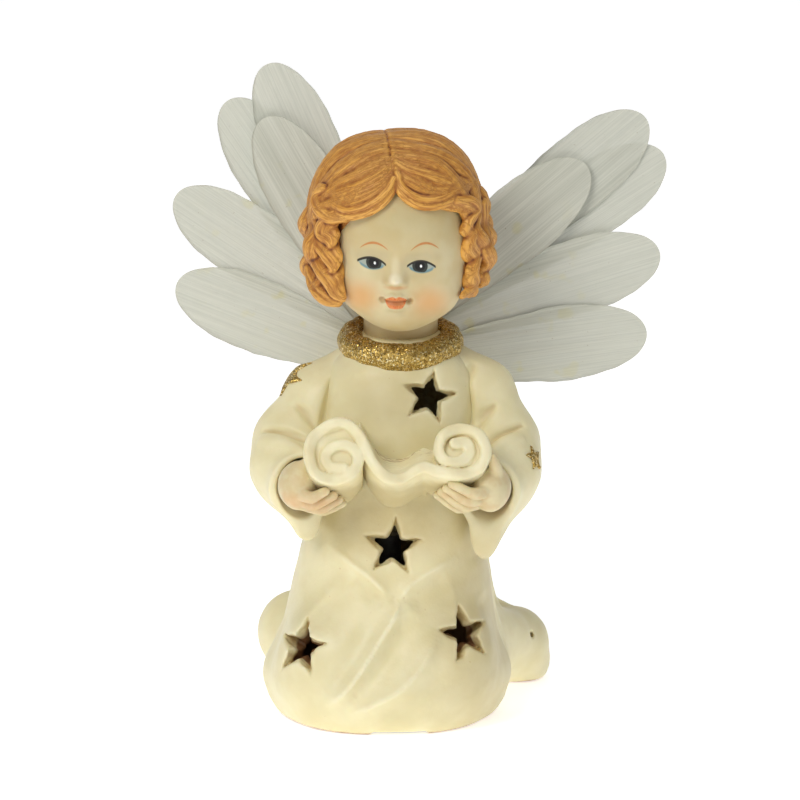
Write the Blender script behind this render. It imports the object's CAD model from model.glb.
import math

import bpy
import numpy as np
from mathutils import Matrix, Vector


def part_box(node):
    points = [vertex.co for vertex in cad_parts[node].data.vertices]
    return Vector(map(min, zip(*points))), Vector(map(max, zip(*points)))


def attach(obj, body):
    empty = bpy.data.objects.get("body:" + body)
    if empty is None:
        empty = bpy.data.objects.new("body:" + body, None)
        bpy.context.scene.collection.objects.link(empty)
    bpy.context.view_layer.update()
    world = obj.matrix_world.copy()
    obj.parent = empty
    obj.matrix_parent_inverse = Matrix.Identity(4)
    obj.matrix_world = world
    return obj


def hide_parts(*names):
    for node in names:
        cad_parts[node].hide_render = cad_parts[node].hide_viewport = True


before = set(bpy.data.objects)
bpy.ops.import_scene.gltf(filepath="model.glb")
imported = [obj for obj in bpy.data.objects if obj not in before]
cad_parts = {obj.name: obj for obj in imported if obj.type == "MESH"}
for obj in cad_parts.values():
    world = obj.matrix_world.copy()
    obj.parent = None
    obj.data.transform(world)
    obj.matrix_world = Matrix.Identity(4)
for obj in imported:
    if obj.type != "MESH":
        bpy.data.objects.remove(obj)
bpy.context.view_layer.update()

import openvdb as vdb
from mathutils import Vector
from mathutils.kdtree import KDTree

# Kneeling resin angel: cast and painted pieces are sculpted as distance fields and meshed,
# the wing petals are thin strips, and the light unit keeps its CAD solids.
# Lengths are in millimetres until a mesh is made; the figure faces -Y.

MM = 0.001
BODY = "figurine"
COARSE = 1.0
FAR = 40.0       # field value where there is no clay yet
REACH = 1.5      # margin round a shape that its blend may touch
BAND = 3.0       # the field is kept this far on each side of a surface

# ---- distance fields ----


def smooth_min(a, b, k):
    h = np.maximum(k - np.abs(a - b), 0.0) / k
    return np.minimum(a, b) - h * h * (k * 0.25)


def smooth_max(a, b, k):
    return -smooth_min(-a, -b, k)


def rod_field(x, y, z, p, q, r_p, r_q):
    """Distance to a tapered rod with round ends."""
    a = [q[i] - p[i] for i in range(3)]
    length2 = a[0] ** 2 + a[1] ** 2 + a[2] ** 2 + 1e-9
    t = ((x - p[0]) * a[0] + (y - p[1]) * a[1] + (z - p[2]) * a[2]) / length2
    t = np.clip(t, 0.0, 1.0)
    dx = x - p[0] - t * a[0]
    dy = y - p[1] - t * a[1]
    dz = z - p[2] - t * a[2]
    return np.sqrt(dx * dx + dy * dy + dz * dz) - (r_p + (r_q - r_p) * t)


def ball_field(x, y, z, c, radii):
    """Distance, near enough, to an ellipsoid."""
    u, v, w = (x - c[0]) / radii[0], (y - c[1]) / radii[1], (z - c[2]) / radii[2]
    k0 = np.sqrt(u * u + v * v + w * w)
    k1 = np.sqrt((u / radii[0]) ** 2 + (v / radii[1]) ** 2 + (w / radii[2]) ** 2) + 1e-9
    return k0 * (k0 - 1.0) / k1


def along_axis(x, y, z, origin, axis):
    """How far points lie from an origin in the direction of an axis."""
    return (x - origin[0]) * axis[0] + (y - origin[1]) * axis[1] + (z - origin[2]) * axis[2]


def waves(x, y, z, seed, size, count=8):
    """Smooth random relief between about -1 and 1, with features of the given size."""
    rng = np.random.default_rng(seed)
    total = 0.0
    for _ in range(count):
        direction = rng.normal(size=3)
        direction *= 2 * math.pi / (size * rng.uniform(0.7, 1.6)) / np.linalg.norm(direction)
        phase = rng.uniform(0, 2 * math.pi)
        total = total + np.sin(direction[0] * x + direction[1] * y + direction[2] * z + phase)
    return total / math.sqrt(count * 2.0)


def curve(points, count):
    """Catmull-Rom curve through points, sampled evenly in its parameter."""
    p = np.array(points, dtype=float)
    p = np.vstack([2 * p[0] - p[1], p, 2 * p[-1] - p[-2]])
    out = []
    spans = len(p) - 3
    for s in np.linspace(0, spans, count):
        i = min(int(s), spans - 1)
        t = s - i
        a, b, c, d = p[i], p[i + 1], p[i + 2], p[i + 3]
        out.append(
            0.5 * (2 * b + (c - a) * t + (2 * a - 5 * b + 4 * c - d) * t * t
                   + (3 * b - a - 3 * c + d) * t ** 3)
        )
    return np.array(out)


def sample(field, low, cell, points):
    """Value of a field at points, linear between its cells."""
    g = (points - low) / cell
    limit = np.array(field.shape) - 2
    i = np.clip(np.floor(g).astype(int), 0, limit)
    f = np.clip(g - i, 0.0, 1.0)
    value = 0.0
    for corner in np.ndindex(2, 2, 2):
        weight = np.prod(np.where(corner, f, 1 - f), axis=1)
        value = value + weight * field[tuple((i + corner).T)]
    return value


def blurred(field, reach):
    """Box average over reach cells each way."""
    out = field
    for axis in range(3):
        pad = [(0, 0)] * 3
        pad[axis] = (reach + 1, reach)
        total = np.cumsum(np.pad(out, pad, mode="edge"), axis=axis, dtype=np.float64)
        size = out.shape[axis]
        high = np.take(total, range(2 * reach + 1, 2 * reach + 1 + size), axis=axis)
        low = np.take(total, range(0, size), axis=axis)
        out = ((high - low) / (2 * reach + 1)).astype(np.float32)
    return out


def add_object(name, data):
    made = bpy.data.objects.new(name, data)
    bpy.context.scene.collection.objects.link(made)
    return made


def add_piece(name, node, data):
    """A mesh that rides on the figurine and takes the place of one CAD node."""
    data.shade_smooth()
    piece = add_object(name, data)
    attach(piece, BODY)
    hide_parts(node)
    return piece


def store(data, name, values):
    """Keeps a number or a vector on every point of a mesh, for its finish to read."""
    single = values.ndim == 1
    layer = data.attributes.new(name, "FLOAT" if single else "FLOAT_VECTOR", "POINT")
    layer.data.foreach_set("value" if single else "vector", values.astype(np.float32).ravel())


class Clay:
    """A block of space holding a distance field: negative inside the piece."""

    def __init__(self, low, high, cell):
        self.cell = cell * COARSE
        self.low = np.array(low, dtype=float)
        counts = np.ceil((np.array(high) - self.low) / self.cell).astype(int) + 1
        self.axes = [
            (self.low[i] + self.cell * np.arange(counts[i])).astype(np.float32) for i in range(3)
        ]
        self.x = self.axes[0][:, None, None]
        self.y = self.axes[1][None, :, None]
        self.z = self.axes[2][None, None, :]
        self.field = np.full(counts, FAR, np.float32)

    def window(self, points, margin):
        low = np.min(points, axis=0) - margin
        high = np.max(points, axis=0) + margin
        cut = []
        for i in range(3):
            first = int(math.floor((low[i] - self.low[i]) / self.cell))
            last = int(math.ceil((high[i] - self.low[i]) / self.cell)) + 1
            cut.append(slice(max(first, 0), max(min(last, len(self.axes[i])), 0)))
        return tuple(cut)

    def local(self, cut):
        return self.x[cut[0]], self.y[:, cut[1]], self.z[:, :, cut[2]]

    def rod(self, p, q, r_p, r_q, k=0.5, carve=False):
        cut = self.window([p, q], max(r_p, r_q) + k + REACH)
        self.blend(cut, rod_field(*self.local(cut), p, q, r_p, r_q), k, carve)

    def ball(self, c, radii, k=0.5, carve=False):
        cut = self.window([np.array(c) - radii, np.array(c) + radii], k + REACH)
        self.blend(cut, ball_field(*self.local(cut), c, radii), k, carve)

    def blend(self, cut, d, k, carve):
        if carve:
            self.field[cut] = smooth_max(self.field[cut], -d, k)
        else:
            self.field[cut] = smooth_min(self.field[cut], d, k)

    def strand(self, points, radii, k=0.5, carve=False):
        """A rod of changing thickness along a list of points."""
        whole = self.window(points, float(np.max(radii)) + k + REACH)
        shape = [c.stop - c.start for c in whole]
        if min(shape) <= 0:
            return
        d = np.full(shape, FAR, np.float32)
        for i in range(len(points) - 1):
            cut = self.window([points[i], points[i + 1]], max(radii[i], radii[i + 1]) + k + REACH)
            if any(c.stop <= c.start for c in cut):
                continue
            near = tuple(slice(c.start - w.start, c.stop - w.start) for c, w in zip(cut, whole))
            rod = rod_field(*self.local(cut), points[i], points[i + 1], radii[i], radii[i + 1])
            d[near] = np.minimum(d[near], rod)
        self.blend(whole, d, k, carve)

    def ridge(self, points, radius, k, carve=False, count=14):
        """A soft fold or crease that fades out at both ends."""
        path = curve(points, count)
        fade = np.sin(np.linspace(0.12, math.pi - 0.12, count)) ** 0.6
        self.strand(path, radius * fade, k, carve)

    def surface(self, x, z, towards=1):
        """Front-most (or back-most) point of the piece at each (x, z)."""
        ys = self.axes[1] if towards > 0 else self.axes[1][::-1]
        points = np.array([(x, y, z) for y in ys])
        inside = sample(self.field, self.low, self.cell, points) < 0
        return float(ys[int(np.argmax(inside))])

    def on_front(self, pairs, sink=0.0):
        return [(x, self.surface(x, z) + sink, z) for x, z in pairs]

    def trim(self, field, k):
        """Cuts away what lies where another field is above 0."""
        self.field = smooth_max(self.field, field, k).astype(np.float32)

    def roughen(self, height, seed, size):
        """Random relief all over, with features of the given size."""
        self.field += (height * waves(self.x, self.y, self.z, seed, size)).astype(np.float32)

    def mesh(self, name, node, slot, depth=None, reach=1.0, lanes=None):
        """Closed mesh of the field, with a groove value and a depth value on every point."""
        grid = vdb.FloatGrid(BAND)
        grid.copyFromArray(np.ascontiguousarray(np.clip(self.field, -BAND, BAND), dtype=np.float32))
        points, quads = grid.convertToQuads(0.0)
        points = points.astype(float) * self.cell + self.low
        quads = quads.astype(np.int64)
        cells = max(1, int(round(reach / self.cell)))
        soft = blurred(np.clip(self.field, -2 * reach, 2 * reach), cells)
        groove = sample(soft, self.low, self.cell, points) / reach
        a, b, c = (points[quads[:, i]] for i in (0, 1, 2))
        volume = np.einsum("ij,ij->i", a, np.cross(b, c)).sum()
        if volume < 0:
            quads = quads[:, ::-1]
        data = bpy.data.meshes.new(name)
        data.vertices.add(len(points))
        data.vertices.foreach_set("co", (points * MM).ravel())
        data.loops.add(quads.size)
        data.loops.foreach_set("vertex_index", quads.ravel().astype(np.int32))
        data.polygons.add(len(quads))
        data.polygons.foreach_set("loop_start", np.arange(0, quads.size, 4, dtype=np.int32))
        data.update(calc_edges=True)
        data.validate()
        store(data, "groove", groove)
        if depth is not None:
            store(data, "depth", -sample(depth, self.low, self.cell, points))
        if lanes is not None:
            store(data, "lane", lanes(points))
        return add_piece(name, node, data)


# ---- robe ----

ROBE_Z = (0, 5, 12, 22, 36, 50, 66, 80, 88, 92, 97)
ROBE_LEFT = (-29.0, -31.6, -32.6, -28.0, -24.6, -21.4, -19.0, -18.0, -16.5, -13.5, -8.5)
ROBE_RIGHT = (25.5, 28.0, 29.2, 25.6, 23.6, 21.4, 20.0, 20.0, 19.0, 16.5, 11.5)
ROBE_FRONT = (-28.5, -31.5, -33.0, -30.0, -25.0, -21.5, -18.8, -17.2, -15.2, -13.5, -10.5)
ROBE_BACK = (25.0, 26.0, 26.0, 25.0, 22.0, 18.5, 16.0, 15.0, 13.5, 12.0, 10.0)
ROBE_POWER = (2.6, 2.5, 2.4, 2.3, 2.2, 2.2, 2.3, 2.3, 2.3, 2.2, 2.1)
WALL = 3.6
FRONT_NARROWING = 0.20
STAR_TAPER = 0.40     # how much a star narrows on its way through the wall
STAR_WAIST = 0.43     # inner corners of a star, as a share of its tips
STAR_RAGGED = 0.34    # how far the outline of a star wanders
STAR_REACH = 9.0      # how far a star reaches to each side of its centre
NECK_TOP = 97
NECK_C = (1.6, 0.0)
NECK_HOLE = 8.4
NECK_FLOOR = 84.0
HOLLOW_TOP = 90.0
RIM_GAP = (1.3, 6.8, 0.8, -20.0)    # middle, half width, height, and where it ends behind
VENT = ((35.6, 18.0, 14.9), (32.2, 25.6, 11.9), 0.75)
STARS = (
    # centre, outward direction, tip radius, turn in degrees
    ((8.8, -15.4, 84.0), (0.05, -0.96, 0.26), 7.6, 12),
    ((-0.2, -21.6, 46.9), (0.02, -0.97, 0.24), 8.0, 5),
    ((-23.2, -24.4, 21.7), (-0.29, -0.92, 0.25), 8.2, 5),
    ((18.2, -24.8, 25.2), (0.26, -0.93, 0.24), 8.0, -8),
)


def profile(z, values):
    """Robe measure at heights z, smooth between its stations."""
    path = curve(list(zip(ROBE_Z, values)), 240)
    return np.interp(z, path[:, 0], path[:, 1]).astype(np.float32)


def robe_field(x, y, z):
    left, right = profile(z, ROBE_LEFT), profile(z, ROBE_RIGHT)
    front, back = profile(z, ROBE_FRONT), profile(z, ROBE_BACK)
    power = profile(z, ROBE_POWER)
    dx = x - (left + right) / 2
    dy = y - (front + back) / 2
    v = dy / ((back - front) / 2)
    narrow = 1 + FRONT_NARROWING * np.minimum(v, 0) * np.maximum(0, 1 - z / 50)
    u = dx / ((right - left) / 2) / np.maximum(narrow, 0.4)
    ring = (np.abs(u) ** power + np.abs(v) ** power + 1e-9) ** (1 / power)
    d = np.sqrt(dx * dx + dy * dy) * (1 - 1 / np.maximum(ring, 0.05))
    return np.maximum(d, z - NECK_TOP)


def star_field(x, y, z, centre, outward, radius, turn, skin=None):
    """Star-shaped plug; with the field of an outer skin it narrows below that skin."""
    n = Vector(outward).normalized()
    across = Vector((0, 0, 1)).cross(n).normalized()
    up = n.cross(across)
    u = along_axis(x, y, z, centre, across) + STAR_RAGGED * waves(x, y, z, 11, 4.0, 5)
    v = along_axis(x, y, z, centre, up) + STAR_RAGGED * waves(x, y, z, 12, 4.0, 5)
    w = along_axis(x, y, z, centre, n)
    tip = radius
    if skin is not None:
        tip = radius * (1 - STAR_TAPER * np.clip(-skin / (WALL + 1.0), 0.0, 1.3))
    sector = 2 * math.pi / 5
    angle = np.arctan2(u, v) - math.radians(turn)
    angle = np.abs(np.mod(angle + sector / 2, sector) - sector / 2)
    rho = np.sqrt(u * u + v * v)
    px, py = rho * np.cos(angle), rho * np.sin(angle)
    ex = STAR_WAIST * math.cos(sector / 2) - 1
    ey = STAR_WAIST * math.sin(sector / 2)
    size = math.hypot(ex, ey)
    edge = ((px - tip) * ey - py * ex) / size
    return np.maximum(edge, np.abs(w) - STAR_REACH)


robe = Clay((-37, -37, -1.5), (42, 45, 99), 0.5)
robe.field = robe_field(robe.x, robe.y, robe.z).astype(np.float32)
hollow = robe.field + WALL
# lap and knees under the cloth
robe.ball((-15.0, -16.0, 15.5), (14.4, 14.4, 14.0), 5.0)
robe.ball((13.5, -16.0, 16.5), (12.0, 13.4, 14.0), 5.0)
robe.ball((-1.5, -14.0, 11.5), (14.0, 17.0, 11.0), 5.0)
# covered lower legs behind the robe
robe.rod((-13.0, 12.0, 12.0), (-23.6, 26.5, 13.2), 12.0, 10.6, 4.0)
robe.rod((12.0, 8.0, 13.5), (27.6, 29.6, 9.0), 13.0, 9.2, 3.5)
robe.rod((20.0, 9.0, 17.5), (31.5, 28.0, 10.5), 8.0, 6.2, 4.0)
robe.rod((30.5, 29.0, 10.4), (31.4, 32.2, 4.8), 7.5, 7.7, 3.0)
# front folds, raised or sunk from the cloth: points (across, height), half width, rise
FOLDS = (
    (((-16.0, 46.5), (-10.5, 42.6), (-5.5, 39.2), (-1.0, 34.6)), 1.8, 1.9),
    (((-11.5, 38.8), (-7.0, 36.6), (-2.8, 32.6)), 2.4, -0.9),
    (((16.0, 44.0), (9.0, 41.0), (4.2, 38.0), (0.6, 33.4)), 1.8, 1.9),
    (((13.5, 38.4), (7.8, 35.6), (4.2, 32.2)), 2.4, -0.8),
    (((1.2, 35.0), (0.4, 31.0), (-3.0, 25.6), (-8.0, 18.0), (-13.2, 11.4), (-18.0, 8.0)), 2.2, 3.0),
    (((-3.0, 31.5), (-6.8, 25.0), (-11.8, 17.6), (-17.0, 12.0)), 3.0, -1.0),
    (((5.0, 31.0), (1.6, 25.2), (-3.2, 18.0), (-8.6, 11.6), (-14.0, 6.8)), 2.8, -1.5),
    (((11.5, 26.5), (7.4, 19.0), (1.2, 12.8), (-6.0, 8.8), (-11.5, 6.2)), 2.4, 2.6),
    (((14.5, 18.5), (9.5, 13.0), (3.5, 8.4), (-3.0, 5.2)), 3.0, -1.1),
    (((-13.0, 38.8), (-18.0, 33.0), (-21.8, 29.0), (-26.0, 24.0)), 1.8, 0.9),
    (((14.0, 37.5), (15.4, 33.0), (14.6, 29.0)), 2.0, 0.7),
    (((20.5, 42.0), (22.0, 36.0), (22.5, 30.0)), 2.4, 0.7),
)


def add_front_folds(clay):
    """Moves the front of the cloth in and out along the fold lines."""
    x, z = clay.axes[0][:, None], clay.axes[2][None, :]
    relief = np.zeros((len(clay.axes[0]), len(clay.axes[2])), np.float32)
    for points, half, rise in FOLDS:
        path = curve(points, 40)
        fade = np.clip(np.sin(np.linspace(0.0, math.pi, 40)) * 1.6, 0, 1)
        nearest = np.full(relief.shape, 1e9)
        height = np.zeros(relief.shape)
        for (px, pz), amount in zip(path, fade):
            d = (x - px) ** 2 + (z - pz) ** 2
            closer = d < nearest
            nearest = np.where(closer, d, nearest)
            height = np.where(closer, amount, height)
        away = np.sqrt(nearest + 0.12) / half
        shape = np.exp(-1.3 * away) if rise > 0 else np.exp(-away * away)
        relief += (rise * height * shape).astype(np.float32)
    front = np.clip((4.0 - clay.y) / 10.0, 0, 1)
    clay.field -= (relief[:, None, :] * front).astype(np.float32)


add_front_folds(robe)
# folds down the sides and the back
for fold in (
    ((-17.0, 8.5, 66), (-20.0, 10.0, 50), (-23.5, 12.0, 34), (-28.0, 15.0, 16)),
    ((-18.0, 3.0, 58), (-21.5, 3.0, 42), (-25.5, 4.0, 24), (-29.5, 5.0, 8)),
    ((18.0, 8.0, 66), (20.5, 9.0, 50), (23.0, 11.0, 34), (27.0, 14.0, 18)),
    ((19.5, 2.0, 56), (21.8, 2.0, 42), (24.6, 3.0, 24), (27.5, 4.0, 8)),
    ((-7.0, 15.5, 76), (-8.0, 17.5, 56), (-10.0, 22.0, 34), (-12.0, 25.5, 12)),
    ((0.5, 15.8, 70), (1.0, 18.0, 52), (2.0, 23.0, 30), (2.0, 25.5, 8)),
    ((8.5, 15.0, 76), (10.0, 17.0, 56), (11.5, 21.5, 34), (12.5, 24.5, 16)),
):
    robe.ridge(fold, 0.8, 2.0)
robe.ridge(((-14.0, 20.0, 26), (-19.0, 26.0, 22), (-25.0, 33.0, 17)), 1.0, 2.6)
robe.ridge(((15.0, 14.0, 29), (22.0, 21.0, 25), (29.0, 28.0, 19)), 1.0, 2.4)
robe.roughen(0.22, 3, 22.0)
robe.roughen(0.05, 4, 5.0)
robe.trim(-robe.z, 1.4)
skin_of_robe = robe.field.copy()
hollow = np.maximum(hollow, robe.z - HOLLOW_TOP)
robe.trim(-hollow, 0.6)
for centre, outward, radius, turn in STARS:
    cut = robe.window([centre], 12.0)
    star = star_field(*robe.local(cut), centre, outward, radius, turn, skin_of_robe[cut])
    robe.blend(cut, star, 0.12, True)
# shallow gap in the front rim, and a vent in the trailing hem
gap_x, gap_half, gap_top, gap_back = RIM_GAP
notch = np.maximum(robe.z - gap_top, robe.y - gap_back)
robe.trim(-np.maximum(np.abs(robe.x - gap_x) - gap_half, notch), 0.8)
vent_start, vent_end, vent_r = VENT
robe.rod(vent_start, vent_end, vent_r, vent_r, 0.2, carve=True)
neck_hole = np.sqrt((robe.x - NECK_C[0]) ** 2 + (robe.y - NECK_C[1]) ** 2) - NECK_HOLE
robe.field = np.maximum(robe.field, -np.maximum(neck_hole, NECK_FLOOR - robe.z))
robe.mesh("robe", "robe_shell", "cream_resin", depth=skin_of_robe, reach=1.6)

# ---- sleeves ----


def tube_field(x, y, z, stations, k):
    """Sweep of an upright oval along a path: stations are (centre, half width, half height)."""
    total = None
    for (p, wide_p, high_p), (q, wide_q, high_q) in zip(stations, stations[1:]):
        p, q = np.array(p, float), np.array(q, float)
        a = q - p
        length = np.linalg.norm(a)
        a = a / length
        side = np.cross(a, (0, 0, 1))
        if np.linalg.norm(side) < 0.45:
            side = np.cross(a, (0, 1, 0))
        side = side / np.linalg.norm(side)
        up = np.cross(side, a)
        along = along_axis(x, y, z, p, a)
        t = np.clip(along / length, 0, 1)
        over = along - t * length
        u = along_axis(x, y, z, p, side)
        v = along_axis(x, y, z, p, up)
        wide = wide_p + (wide_q - wide_p) * t
        high = high_p + (high_q - high_p) * t
        ring = np.sqrt((u / wide) ** 2 + (v / high) ** 2 + (over / np.minimum(wide, high)) ** 2)
        rho = np.sqrt(u * u + v * v + over * over)
        d = rho * (1 - 1 / np.maximum(ring, 0.05))
        total = d if total is None else smooth_min(total, d, k)
    return total


RIGHT_ARM = (
    ((-10.5, 0.8, 86.0), 7.6, 7.2),
    ((-18.4, 0.6, 80.0), 8.6, 8.0),
    ((-24.6, -2.6, 69.0), 10.2, 9.8),
    ((-25.0, -9.0, 64.2), 10.0, 9.2),
)
RIGHT_CUFF = (((-25.0, -9.0, 63.4), 9.2, 9.4), ((-23.0, -21.5, 62.0), 7.4, 8.4))
LEFT_ARM = (
    ((13.5, 0.8, 87.0), 7.6, 7.2),
    ((21.2, 0.6, 80.8), 8.6, 8.2),
    ((25.8, -2.6, 69.0), 10.0, 10.2),
    ((25.8, -9.0, 63.4), 10.0, 9.8),
)
LEFT_CUFF = (((25.8, -9.0, 62.8), 9.2, 10.0), ((23.2, -21.5, 61.4), 7.6, 8.6))


# reach across the figure of each sleeve's clay, and how low it goes
SLEEVE_SPAN = {-1: (-40, -4), 1: (6, 42)}
SLEEVE_BOTTOM = 34


def make_sleeve(name, node, arm, cuff, hem_tip, creases, side):
    low = np.min([p for p, _, _ in arm + cuff], axis=0) - 17
    high = np.max([p for p, _, _ in arm + cuff], axis=0) + 15
    low[0], high[0] = SLEEVE_SPAN[side]
    low[2] = SLEEVE_BOTTOM
    clay = Clay(low, high, 0.42)
    x, y, z = clay.x, clay.y, clay.z
    shape = tube_field(x, y, z, arm, 3.5)
    bell = tube_field(x, y, z, cuff, 2.0)
    (p, wide_p, _), (q, wide, _) = cuff
    inner, mouth = np.array(p), np.array(q)
    axis = (mouth - inner) / np.linalg.norm(mouth - inner)
    heel = inner + (np.array(hem_tip) - mouth) * 0.30
    hem = rod_field(x, y, z, q, hem_tip, wide * 1.02, 2.0)
    hem = smooth_min(hem, rod_field(x, y, z, hem_tip, heel, 2.0, wide_p * 0.72), 2.0)
    hem = smooth_min(hem, rod_field(x, y, z, q, heel, wide * 0.9, wide_p * 0.72), 2.0)
    hem = smooth_min(hem, rod_field(x, y, z, arm[-1][0], hem_tip, arm[-1][1] * 0.96, 1.8), 2.0)
    bell = smooth_min(bell, hem, 3.0)
    end = along_axis(x, y, z, mouth, axis) + 0.5 * waves(x, y, z, 31, 14.0, 4)
    bell = smooth_max(bell, end, 1.2)
    clay.field = smooth_min(shape, bell, 4.0).astype(np.float32)
    clay.trim(end, 1.2)
    for points, radius, soft, carve in creases:
        clay.ridge(clay.on_front(points, 0.1 if carve else 0.7), radius, soft, carve)
    clay.roughen(0.15, 33, 12.0)
    outside = clay.field.copy()
    back, out = mouth - axis * 11.0, mouth + axis * 4.0
    wrist = tube_field(x, y, z, ((back, 4.6, 4.8), (q, wide - 1.5, 7.6), (out, wide - 1.5, 7.6)), 1.0)
    tip = np.array(hem_tip) + (0, 0, 1.8)
    trough = rod_field(x, y, z, mouth + axis * 2.5, tip + axis * 2.5, wide - 1.2, 1.0)
    hole = smooth_min(wrist, trough, 2.0)
    clay.trim(-hole, 0.7)
    # ends on the robe, just under its surface
    grid = np.stack(np.meshgrid(*clay.axes, indexing="ij"), axis=-1).reshape(-1, 3)
    near = sample(skin_of_robe, robe.low, robe.cell, grid).reshape(clay.field.shape)
    clay.field = np.maximum(clay.field, -(near + 1.2)).astype(np.float32)
    clay.mesh(name, node, "cream_resin", reach=1.4)
    return clay, outside


right_clay, right_skin = make_sleeve(
    "right_sleeve_cloth", "right_sleeve", RIGHT_ARM, RIGHT_CUFF, (-21.2, -20.6, 49.6),
    (
        ([(-32.5, 73.8), (-28.0, 74.4), (-23.5, 73.4), (-19.5, 71.6)], 1.1, 1.4, True),
        ([(-24.5, 80.0), (-21.5, 77.6), (-19.0, 74.2)], 1.0, 1.8, True),
        ([(-33.0, 71.4), (-28.0, 71.8), (-22.0, 70.6)], 1.5, 2.2, False),
        ([(-15.4, 85.6), (-16.4, 80.0), (-17.4, 75.5), (-19.5, 72.0)], 1.2, 1.8, True),
    ),
    -1,
)
left_clay, left_skin = make_sleeve(
    "left_sleeve_cloth", "left_sleeve", LEFT_ARM, LEFT_CUFF, (22.0, -20.6, 44.8),
    (
        ([(25.0, 79.8), (22.0, 77.2), (20.0, 74.5)], 1.0, 1.8, True),
        ([(32.0, 75.0), (28.5, 74.4), (25.5, 73.2), (22.5, 71.2)], 1.1, 1.5, True),
        ([(31.5, 72.2), (27.5, 71.8), (23.5, 70.0)], 1.5, 2.2, False),
        ([(20.0, 89.4), (17.8, 85.4), (18.2, 80.0), (19.0, 75.5)], 1.2, 1.8, True),
    ),
    1,
)


def make_gold_star(name, node, clay, outside, centre, outward, radius, turn):
    cut = clay.window([centre], radius + 3.0)
    x, y, z = clay.local(cut)
    star = star_field(x, y, z, centre, outward, radius, turn)
    skin = outside[cut] + 0 * star
    lumps = 0.1 * waves(x, y, z, 41, 1.6, 8)
    piece = Clay((0, 0, 0), (1, 1, 1), 1.0)
    piece.cell, piece.axes = clay.cell, [a[c] for a, c in zip(clay.axes, cut)]
    piece.low = np.array([a[0] for a in piece.axes], dtype=float)
    shape = np.maximum(np.maximum(skin - 0.55 - lumps, -(skin + 0.5)), star)
    piece.field = shape.astype(np.float32)
    piece.mesh(name, node, "gold_glitter", reach=0.6)


make_gold_star(
    "right_shoulder_gold_star", "right_shoulder_star", right_clay, right_skin,
    (-25.8, 0.6, 85.4), (-0.97, -0.06, 0.20), 5.6, 14,
)
make_gold_star(
    "left_sleeve_gold_star", "left_sleeve_star", left_clay, left_skin,
    (33.8, -12.5, 67.6), (0.86, -0.50, 0.12), 3.6, 10,
)

# ---- scroll, modelled lying along its own axis and then leaned back ----

SHEET = 2.3
LEAN = math.radians(33.0)
SCROLL_FRONT = (0.0, -36.0, 68.0)
RIGHT_ROLL = (
    (-12.6, 3.0), (-15.8, 3.5), (-17.2, 6.0), (-15.8, 8.5), (-12.4, 9.2), (-9.6, 7.4), (-9.0, 4.2),
    (-11.2, 1.2), (-15.2, 0.2), (-19.4, 1.6), (-21.1, 5.8), (-20.6, 10.2), (-17.4, 13.6),
    (-12.6, 14.9), (-8.7, 11.6),
)
TROUGH = ((-5.4, 4.6), (-2.2, 0.9), (1.4, 0.4), (4.8, 2.2), (7.6, 3.4), (11.2, 2.2))
LEFT_ROLL = (
    (16.6, 1.5), (21.2, 3.2), (23.0, 7.6), (21.0, 12.2), (16.8, 13.6), (12.6, 11.8), (11.2, 8.2),
    (12.8, 5.0), (16.4, 4.7), (18.9, 7.2), (17.9, 10.0), (15.2, 9.6),
)


def scroll_frame(points):
    """Local (across, up, along) to world: along runs from the front edge to the belly."""
    across, up, along = points[..., 0], points[..., 1], points[..., 2]
    y = SCROLL_FRONT[1] + up * math.sin(LEAN) + along * math.cos(LEAN)
    z = SCROLL_FRONT[2] + up * math.cos(LEAN) - along * math.sin(LEAN)
    return np.stack([across + SCROLL_FRONT[0], y, z], axis=-1)


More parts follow.
